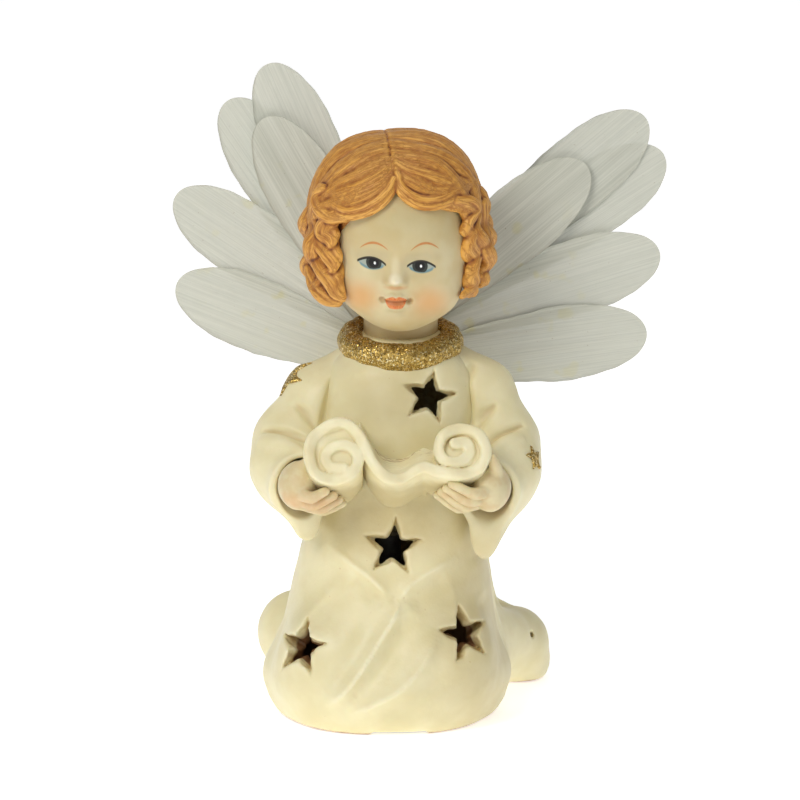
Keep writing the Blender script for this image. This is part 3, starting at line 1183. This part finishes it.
class Finish:
    """A procedural material built round one Principled shader."""

    def __init__(self, name, **settings):
        self.material = bpy.data.materials.new(name)
        self.material.use_nodes = True
        self.tree = self.material.node_tree
        self.shader = self.tree.nodes["Principled BSDF"]
        for key, value in settings.items():
            self.shader.inputs[key.replace("_", " ")].default_value = value
        coords = self.node("ShaderNodeTexCoord").outputs["Object"]
        self.place = self.vector_math("MULTIPLY", coords, (1 / MM, 1 / MM, 1 / MM))
        self.x, self.y, self.z = self.split(self.place)

    def node(self, kind, **settings):
        node = self.tree.nodes.new(kind)
        for key, value in settings.items():
            setattr(node, key, value)
        return node

    def vector_math(self, operation, *values):
        node = self.node("ShaderNodeVectorMath", operation=operation)
        for slot, value in zip(node.inputs, values):
            self.feed(slot, value)
        return node.outputs[0]

    def split(self, socket):
        node = self.node("ShaderNodeSeparateXYZ")
        self.feed(node.inputs[0], socket)
        return [Formula(self, output) for output in node.outputs]

    def feed(self, slot, value):
        if isinstance(value, Formula):
            value = value.socket
        if isinstance(value, bpy.types.NodeSocket):
            self.tree.links.new(value, slot)
        else:
            slot.default_value = value

    def set(self, name, value):
        self.feed(self.shader.inputs[name], value)

    def value(self, name):
        return Formula(self, self.node("ShaderNodeAttribute", attribute_name=name).outputs["Fac"])

    def vector(self, name):
        return self.split(self.node("ShaderNodeAttribute", attribute_name=name).outputs["Vector"])

    def join(self, x, y, z):
        node = self.node("ShaderNodeCombineXYZ")
        for slot, value in zip(node.inputs, (x, y, z)):
            self.feed(slot, value)
        return node.outputs[0]

    def noise(self, size, detail=2.0, at=None, rough=0.5):
        """Cloudy value round 0.5 with features of a size in millimetres."""
        node = self.node("ShaderNodeTexNoise")
        for name, value in (("Scale", 1.0 / size), ("Detail", detail), ("Roughness", rough),
                            ("Vector", at or self.place)):
            self.feed(node.inputs[name], value)
        return Formula(self, node.outputs["Fac"])

    def cells(self, size):
        """Random colour of each cell of a foam of the given cell size."""
        node = self.node("ShaderNodeTexVoronoi")
        node.inputs["Scale"].default_value = 1.0 / size
        self.feed(node.inputs["Vector"], self.place)
        return node.outputs["Color"]

    def mix(self, amount, a, b):
        node = self.node("ShaderNodeMix", data_type="RGBA")
        self.feed(node.inputs["Factor"], amount)
        for slot, value in ((node.inputs["A"], a), (node.inputs["B"], b)):
            slots = [s for s in node.inputs if s.name == slot.name and s.type == "RGBA"]
            self.feed(slots[0], (*value, 1.0) if isinstance(value, tuple) else value)
        return [s for s in node.outputs if s.type == "RGBA"][0]

    def ground(self, amount, a, b):
        """First coat: between two colours by an amount from 0 to 1."""
        self.paint = self.mix(amount, colour(*a), colour(*b))

    def coat(self, amount, *rgb):
        """One more coat over the paint, as strong as the amount."""
        self.paint = self.mix(amount, self.paint, colour(*rgb))

    def bump(self, height, depth):
        """Relief of a height value, depth in millimetres at value 1."""
        node = self.node("ShaderNodeBump")
        node.inputs["Strength"].default_value = 1.0
        node.inputs["Distance"].default_value = depth * MM
        self.feed(node.inputs["Height"], height)
        self.set("Normal", node.outputs["Normal"])

    def ahead(self, depth, soft=0.5):
        """1 in front of a plane at y = -depth, 0 behind it."""
        return (self.y + depth).rise(soft, -soft)

    def spot(self, x, z, wide, tall, soft=0.3):
        """1 inside an upright oval on the front, falling to 0 over a soft edge."""
        u = (self.x - x) / wide
        v = (self.z - z) / tall
        front = self.ahead(2.0)
        return (u * u + v * v).root().rise(1.0 + soft / 2, 1.0 - soft / 2) * front


def colour(red, green, blue):
    """Linear colour from the 0-255 values that a paint chart gives."""
    out = []
    for value in (red, green, blue):
        value = value / 255
        out.append(value / 12.92 if value <= 0.04045 else ((value + 0.055) / 1.055) ** 2.4)
    return tuple(out)


def resin_shader(f):
    """Settings that every cream piece shares: soft satin paint over cast resin."""
    f.set("Base Color", f.paint)
    f.set("Roughness", 0.36 + 0.16 * f.noise(3.0))
    f.set("Specular IOR Level", 0.42)
    f.set("Subsurface Weight", 0.15)
    f.set("Subsurface Radius", (1.0, 0.6, 0.25))
    f.set("Subsurface Scale", 0.0015)
    f.bump(f.noise(1.3, 3.0) * 0.6 + f.noise(6.0), 0.10)
    return f.material


def resin_finish():
    f = Finish("cream_resin_paint")
    groove = f.value("groove")
    depth = f.value("depth")
    f.ground(f.noise(9.0, 3.0).rise(0.3, 0.7), (235, 226, 186), (227, 216, 171))
    speck = f.noise(0.8, 2.0).rise(0.70, 0.78) * f.noise(7.0).rise(0.5, 0.6)
    f.coat(speck * 0.4, 178, 130, 70)
    wash = groove.rise(-0.03, -0.42)
    f.coat(wash * 0.8, 186, 152, 84)
    lines = (groove + f.noise(2.5) * 0.2).rise(-0.42, -0.80)
    f.coat(lines * 0.6, 134, 90, 44)
    f.coat(groove.rise(0.06, 0.34) * 0.45, 246, 240, 208)
    low = (f.z + f.noise(4.0) * 0.8).rise(1.2, 0.5)
    f.coat(low * 0.9, 150, 96, 44)
    # warm stain left on the belly, the chest and the shaded right side
    for x, z, wide, tall, share in ((-2.0, 52.0, 15.0, 8.0, 0.42), (0.0, 85.0, 10.0, 7.0, 0.25),
                                    (22.0, 26.0, 13.0, 26.0, 0.30)):
        stain = f.spot(x, z, wide, tall, 1.0) * (0.7 + 0.6 * f.noise(5.0))
        f.coat(stain * share, 168, 142, 76)
    wall = depth.rise(0.3, 1.2) * f.noise(1.6, 2.0).rise(0.45, 0.62)
    f.coat(wall * 0.35, 176, 142, 88)
    f.coat(depth.rise(3.3, 4.2), 134, 96, 62)
    return resin_shader(f)


def plain_resin_finish():
    f = Finish("cream_resin_scroll")
    groove = f.value("groove")
    f.ground(f.noise(7.0, 3.0).rise(0.3, 0.7), (238, 230, 192), (231, 219, 176))
    f.coat(groove.rise(-0.06, -0.50) * 0.8, 190, 156, 88)
    lines = (groove + f.noise(2.0) * 0.15).rise(-0.38, -0.75)
    f.coat(lines * 0.4, 134, 90, 44)
    under = (f.z + f.noise(3.0) * 2.0).rise(68.0, 64.0)
    f.coat(under * 0.5, 170, 148, 88)
    # fine brushed lines along the back of the trough
    brushed = ((f.y + f.noise(3.0) * 2.2) * 4.2).sine().rise(0.80, 0.97)
    brushed = brushed * f.x.rise(-8.5, -5.0) * f.x.rise(11.0, 7.0)
    brushed = brushed * f.y.rise(-24.5, -22.5) * f.z.rise(64.0, 67.0)
    f.coat(brushed * 0.6, 158, 118, 58)
    return resin_shader(f)


def skin_shader(f, relief):
    f.set("Base Color", f.paint)
    f.set("Roughness", 0.40 + 0.14 * f.noise(4.0))
    f.set("Specular IOR Level", 0.36)
    f.set("Subsurface Weight", 0.18)
    f.set("Subsurface Radius", (1.2, 0.6, 0.25))
    f.set("Subsurface Scale", 0.0015)
    f.bump(f.noise(1.2, 3.0) * 0.5 + f.noise(5.0), relief)
    return f.material


def eye(f, x, z, tilt, iris_x, iris_z):
    """A painted eye: pale almond, dark iris cut by the upper lid, blue lower lid."""
    u = f.x - x
    v = f.z - z - u * tilt
    front = f.ahead(5.0)
    top = 1.42 - u * u * 0.112
    bottom = -1.38 + u * u * 0.108
    inside = (v - top).rise(0.08, -0.08) * (v - bottom).rise(-0.08, 0.08) * front
    f.coat(inside, 166, 174, 162)
    blue = (v - bottom - 0.12).size().rise(0.55, 0.18) * u.size().rise(3.2, 2.6) * front
    f.coat(blue * 0.8, 92, 138, 150)
    ix, iz = u - iris_x, v - iris_z
    iris = (ix * ix + iz * iz).root()
    dark = iris.rise(2.05, 1.85) * inside
    f.coat(dark, 52, 56, 50)
    pupil = iris.rise(1.5, 1.1) * inside
    f.coat(pupil, 18, 18, 16)
    gx, gz = ix - 0.25, iz + 0.05
    glint = (gx * gx * 2.0 + gz * gz).root().rise(0.48, 0.30) * inside
    f.coat(glint, 252, 252, 248)
    lid = (v - top - 0.06 - (u + 0.6).size() * 0.01).size().rise(0.40, 0.24)
    lid = lid * u.size().rise(3.75, 3.45) * front
    f.coat(lid * 0.95, 26, 22, 22)


def face_finish():
    f = Finish("painted_face")
    groove = f.value("groove")
    f.ground(f.noise(8.0, 2.0).rise(0.35, 0.65), (214, 201, 160), (207, 189, 143))
    f.coat(groove.rise(-0.16, -0.8) * 0.5, 204, 142, 88)
    for x, z in ((-8.4, 110.4), (9.0, 108.9)):
        blush = f.spot(x, z, 3.8, 3.4, 1.9)
        f.coat(blush * 0.55, 222, 146, 62)
    for x, z in ((-5.2, 121.4), (6.7, 120.8)):
        f.coat(f.spot(x, z, 4.2, 1.6, 1.2) * 0.22, 150, 146, 128)
    hairline = (f.z + f.noise(5.0) * 2.0).rise(119.0, 134.0) * 0.42
    f.coat(hairline, 172, 154, 98)
    f.coat((f.z + f.noise(5.0)).rise(110.0, 101.0) * 0.40, 180, 150, 92)
    # brows
    for x, z in ((-5.0, 124.75), (7.7, 124.65)):
        u = f.x - x
        arch = f.z - z + u * u * 0.145
        thick = 0.30 - u * u * 0.019
        front = f.ahead(5.0)
        brow = (arch.size() - thick).rise(0.14, -0.10) * u.size().rise(3.7, 3.2) * front
        f.coat(brow * (0.6 + 0.4 * f.noise(0.5)), 196, 118, 48)
    # lips
    u = f.x - 0.45
    front = f.ahead(17.0, 0.3)
    upper = 111.1 - u * u * 0.13 - (0.42 - u.size() * 0.5).larger(0.0)
    spread = (u.size() - 1.2).larger(0.0)
    lower = 107.9 + spread * spread * 0.9
    lips = (f.z - upper).rise(0.15, -0.15) * (f.z - lower).rise(-0.2, 0.2) * front
    lips = lips * u.size().rise(3.1, 2.5)
    stroke = f.noise(0.35, 2.0, at=f.join(f.x * 3.0, f.y, f.z * 0.6))
    tone = f.mix(stroke.rise(0.4, 0.65), colour(212, 92, 28), colour(228, 148, 76))
    f.paint = f.mix(lips * 0.9, f.paint, tone)
    seam = f.z - 109.75 + u * 0.03 + (u * u * -0.035 + 0.22).larger(0.0)
    gap = (seam + 0.15).size().rise(0.75, 0.45) * u.size().rise(2.4, 1.6) * front
    f.coat(gap * 0.7, 196, 138, 92)
    seam = seam.size().rise(0.34, 0.10) * u.size().rise(3.2, 2.6) * front
    f.coat(seam * 0.5, 150, 78, 36)
    for x, z in ((-2.8, 110.0), (3.8, 109.7)):
        f.coat(f.spot(x, z, 0.7, 0.6, 1.6) * 0.15, 168, 108, 56)
    f.coat(f.spot(0.4, 113.2, 2.4, 0.6, 1.4) * 0.5, 212, 136, 72)
    f.coat(f.spot(0.4, 115.7, 1.5, 1.3, 1.0) * 0.6, 242, 235, 208)
    f.coat(f.spot(0.4, 118.4, 1.0, 2.6, 1.4) * 0.35, 236, 228, 196)
    for x in (-2.3, 3.1):
        f.coat(f.spot(x, 115.2, 0.8, 1.6, 1.6) * 0.3, 176, 148, 98)
    eye(f, -5.6, 119.2, -0.09, 0.55, 0.28)
    eye(f, 6.85, 118.35, -0.07, -0.35, 0.25)
    return skin_shader(f, 0.06)


def hand_finish():
    f = Finish("painted_hand")
    groove = f.value("groove")
    f.ground(f.noise(3.0, 2.0).rise(0.35, 0.65), (219, 207, 166), (213, 194, 150))
    blush = f.y.rise(-28.0, -31.5) * f.z.rise(65.0, 61.0) * (0.55 - f.x * 0.018)
    f.coat(blush * 0.30, 222, 146, 88)
    f.coat(groove.rise(-0.04, -0.45) * 0.7, 188, 128, 76)
    wrist = (f.y + f.noise(1.6) * 1.6).rise(-20.6, -19.4)
    f.coat(wrist * 0.85, 132, 84, 44)
    return skin_shader(f, 0.05)


def hair_finish():
    f = Finish("painted_hair_brown")
    groove = f.value("groove")
    across, along, _ = f.vector("lane")
    combed = f.noise(0.34, 2.0, at=f.join(across, along * 0.07, 0.0), rough=0.6)
    broad = f.noise(1.1, 2.0, at=f.join(across, along * 0.10, 7.0))
    f.ground(broad.rise(0.3, 0.7), (230, 174, 86), (216, 156, 66))
    f.coat(combed.rise(0.55, 0.40) * 0.7, 164, 100, 36)
    crest = groove.rise(0.20, 0.70) * combed.rise(0.4, 0.62)
    f.coat(crest * 0.5, 244, 206, 132)
    f.coat(groove.rise(0.14, -0.14) * 0.85, 152, 84, 32)
    f.coat(groove.rise(-0.04, -0.18) * 0.9, 84, 42, 18)
    f.set("Base Color", f.paint)
    f.set("Roughness", 0.40 + 0.2 * f.noise(2.0))
    f.set("Specular IOR Level", 0.4)
    f.bump(combed + 0.3 * f.noise(0.8, 2.0), 0.16)
    return f.material


def glitter_finish():
    f = Finish("gold_glitter_flakes", Metallic=0.85)
    tint = f.cells(0.30)
    split = f.node("ShaderNodeSeparateColor")
    f.feed(split.inputs[0], tint)
    pick, other = Formula(f, split.outputs[0]), Formula(f, split.outputs[1])
    f.ground(pick, (112, 86, 32), (222, 188, 106))
    f.coat(other.rise(0.84, 0.88), 255, 240, 190)
    worn = f.noise(3.0, 3.0).rise(0.56, 0.68)
    f.coat(worn * 0.35, 132, 98, 40)
    f.set("Base Color", f.paint)
    f.set("Roughness", 0.28 + 0.22 * other)
    # each flake faces its own way
    lean = f.vector_math("SUBTRACT", tint, (0.5, 0.5, 0.5))
    lean = f.vector_math("MULTIPLY", lean, (0.85, 0.85, 0.85))
    lean = f.vector_math("ADD", f.node("ShaderNodeNewGeometry").outputs["Normal"], lean)
    f.set("Normal", f.vector_math("NORMALIZE", lean))
    return f.material


def film_finish():
    f = Finish("petal_film_streaked", Roughness=0.42)
    across, along, petal = f.vector("grain")
    fine = f.noise(0.36, 3.0, at=f.join(across, along * 0.012, petal), rough=0.6)
    broad = f.noise(2.4, 2.0, at=f.join(across, along * 0.06, petal + 9.0))
    f.ground(fine.rise(0.3, 0.7), (206, 208, 194), (217, 218, 205))
    f.coat(broad.rise(0.4, 0.75) * 0.45, 222, 223, 211)
    root = (along + f.noise(6.0) * 16.0).rise(30.0, 8.0)
    f.coat(root * 0.30, 206, 196, 150)
    smear = f.noise(6.0, 2.0).rise(0.60, 0.70) * along.rise(60.0, 36.0)
    f.coat(smear * 0.5, 212, 206, 146)
    speck = f.noise(0.6, 1.0).rise(0.76, 0.80)
    f.coat(speck * 0.5, 140, 120, 84)
    f.set("Base Color", f.paint)
    f.set("Alpha", 0.70 + 0.08 * fine.rise(0.3, 0.75) + 0.08 * broad.rise(0.4, 0.7))
    f.set("Specular IOR Level", 0.3)
    f.bump(fine, 0.025)
    return f.material


def glue_finish():
    f = Finish("yellow_glue_bead", Roughness=0.22)
    f.set("Base Color", f.mix(f.noise(2.0), colour(214, 186, 108), colour(190, 150, 70)))
    f.set("Transmission Weight", 0.25)
    f.bump(f.noise(1.5), 0.15)
    return f.material


def moulded_finish(name, dark, light, rough, metallic=0.0, grain=0.4, relief=0.03):
    f = Finish(name, Metallic=metallic)
    f.set("Base Color", f.mix(f.noise(grain * 6, 4.0).rise(0.3, 0.7), dark, light))
    f.set("Roughness", rough + 0.12 * f.noise(grain * 10, 2.0))
    f.bump(f.noise(grain, 3.0), relief)
    return f.material


def board_finish():
    f = Finish("board_green", Roughness=0.4)
    weave = (f.x * 6.0).sine() * (f.y * 6.0).sine()
    f.ground(weave.rise(-0.8, 0.8), (32, 92, 56), (40, 108, 66))
    f.coat(f.noise(3.0) * 0.4, 24, 74, 44)
    f.set("Base Color", f.paint)
    f.bump(weave, 0.01)
    return f.material


def lamp_finish():
    f = Finish("lamp_epoxy", Roughness=0.08)
    f.set("Base Color", f.mix(f.noise(3.0), colour(250, 238, 206), colour(244, 228, 188)))
    f.set("Transmission Weight", 0.7)
    f.bump(f.noise(2.0), 0.01)
    return f.material


def dress(piece, material):
    piece.data.materials.clear()
    piece.data.materials.append(material)


resin = resin_finish()
glitter = glitter_finish()
skin_hand = hand_finish()
film = film_finish()
glue = glue_finish()
finish_of = {
    "robe": resin, "right_sleeve_cloth": resin, "left_sleeve_cloth": resin,
    "scroll_sheet": plain_resin_finish(), "head_skin": face_finish(),
    "right_hand_skin": skin_hand, "left_hand_skin": skin_hand, "hair_waves": hair_finish(),
    "collar_glitter": glitter, "right_shoulder_gold_star": glitter, "left_sleeve_gold_star": glitter,
}
for name, material in finish_of.items():
    dress(bpy.data.objects[name], material)
for piece in petals:
    dress(piece, film)
for piece in glue_pieces:
    dress(piece, glue)

black = moulded_finish("black_abs", (0.012, 0.012, 0.013), (0.022, 0.022, 0.023), 0.42)
steel = moulded_finish("cell_nickel", (0.55, 0.54, 0.52), (0.68, 0.67, 0.65), 0.22, 1.0, 0.3, 0.01)
spring = moulded_finish("contact_nickel", (0.62, 0.58, 0.50), (0.74, 0.70, 0.62), 0.28, 1.0, 0.3, 0.01)
for names, material in (
    (("base_plate", "lamp_housing", "battery_door", "switch_body", "switch_knob"), black),
    (("led_stem",), moulded_finish("stem_sleeve", (0.10, 0.09, 0.08), (0.15, 0.14, 0.12), 0.5)),
    (("battery_1", "battery_2", "battery_3"), steel),
    (("lower_contact", "upper_contact", "led_leg_1", "led_leg_2"), spring),
    (("circuit_board",), board_finish()),
    (("led_lens",), lamp_finish()),
):
    for name in names:
        dress(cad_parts[name], material)

# ---- studio, in metres ----

FLOOR_FRONT, FLOOR_BACK, FLOOR_HALF, WALL_BEND = -1.4, 2.0, 3.0, 1.2
FLAT_SHARE = 0.6      # share of the sweep's rows that lie flat
FIGURE = (0, 0, 0.07)
VIEW_CENTRE = Vector((0.0015, 0.0, 0.0794))
VIEW_SIZE = 0.200
VIEW_DISTANCE = 1.2
ELEVATION = math.radians(14.0)


def sweep():
    """Seamless pale floor that curves up into a wall far behind."""
    rows = []
    for step in range(61):
        t = step / 60
        if t < FLAT_SHARE:
            rows.append((FLOOR_FRONT + (FLOOR_BACK - FLOOR_FRONT) * t / FLAT_SHARE, 0.0))
        else:
            a = (t - FLAT_SHARE) / (1 - FLAT_SHARE) * math.pi / 2
            rows.append((FLOOR_BACK + WALL_BEND * math.sin(a), WALL_BEND * (1 - math.cos(a))))
    points = [(x, y, z) for y, z in rows for x in (-FLOOR_HALF, FLOOR_HALF)]
    faces = [(2 * i, 2 * i + 1, 2 * i + 3, 2 * i + 2) for i in range(len(rows) - 1)]
    data = bpy.data.meshes.new("floor_sweep")
    data.from_pydata(points, [], faces)
    data.shade_smooth()
    floor = add_object("floor_sweep", data)
    f = Finish("pale_paper", Roughness=0.9)
    f.set("Base Color", f.mix(f.noise(40.0, 3.0), colour(248, 248, 248), colour(251, 251, 251)))
    f.set("Emission Color", (1.0, 1.0, 1.0, 1.0))
    f.set("Emission Strength", 0.56)
    f.bump(f.noise(0.5), 0.01)
    dress(floor, f.material)


def aim(thing, place, target):
    """Puts a light or a camera at a place, looking at a target."""
    thing.location = place
    thing.rotation_euler = (Vector(target) - Vector(place)).to_track_quat("-Z", "Y").to_euler()


def lamp(name, place, size, power, tint=(1, 1, 1)):
    data = bpy.data.lights.new(name, "AREA")
    data.shape = "DISK"
    data.size = size
    data.energy = power
    data.color = tint
    aim(add_object(name, data), place, FIGURE)


sweep()
lamp("key", (-0.45, -0.75, 0.75), 0.50, 5.4, (1.0, 0.985, 0.95))
lamp("fill", (0.8, -0.6, 0.35), 0.7, 0.7, (0.97, 0.98, 1.0))
lamp("top", (0.0, 0.1, 1.0), 0.8, 2.6)

world = bpy.data.worlds.new("studio")
world.use_nodes = True
world.node_tree.nodes["Background"].inputs["Color"].default_value = (0.98, 0.99, 1.0, 1)
world.node_tree.nodes["Background"].inputs["Strength"].default_value = 0.24
scene = bpy.context.scene
scene.world = world
scene.view_settings.view_transform = "Standard"

camera_data = bpy.data.cameras.new("camera")
camera_data.type = "ORTHO"
camera_data.ortho_scale = VIEW_SIZE
camera_data.clip_end = 20.0
camera = add_object("camera", camera_data)
view_from = Vector((0, -math.cos(ELEVATION), math.sin(ELEVATION))) * VIEW_DISTANCE
aim(camera, VIEW_CENTRE + view_from, VIEW_CENTRE)
scene.camera = camera
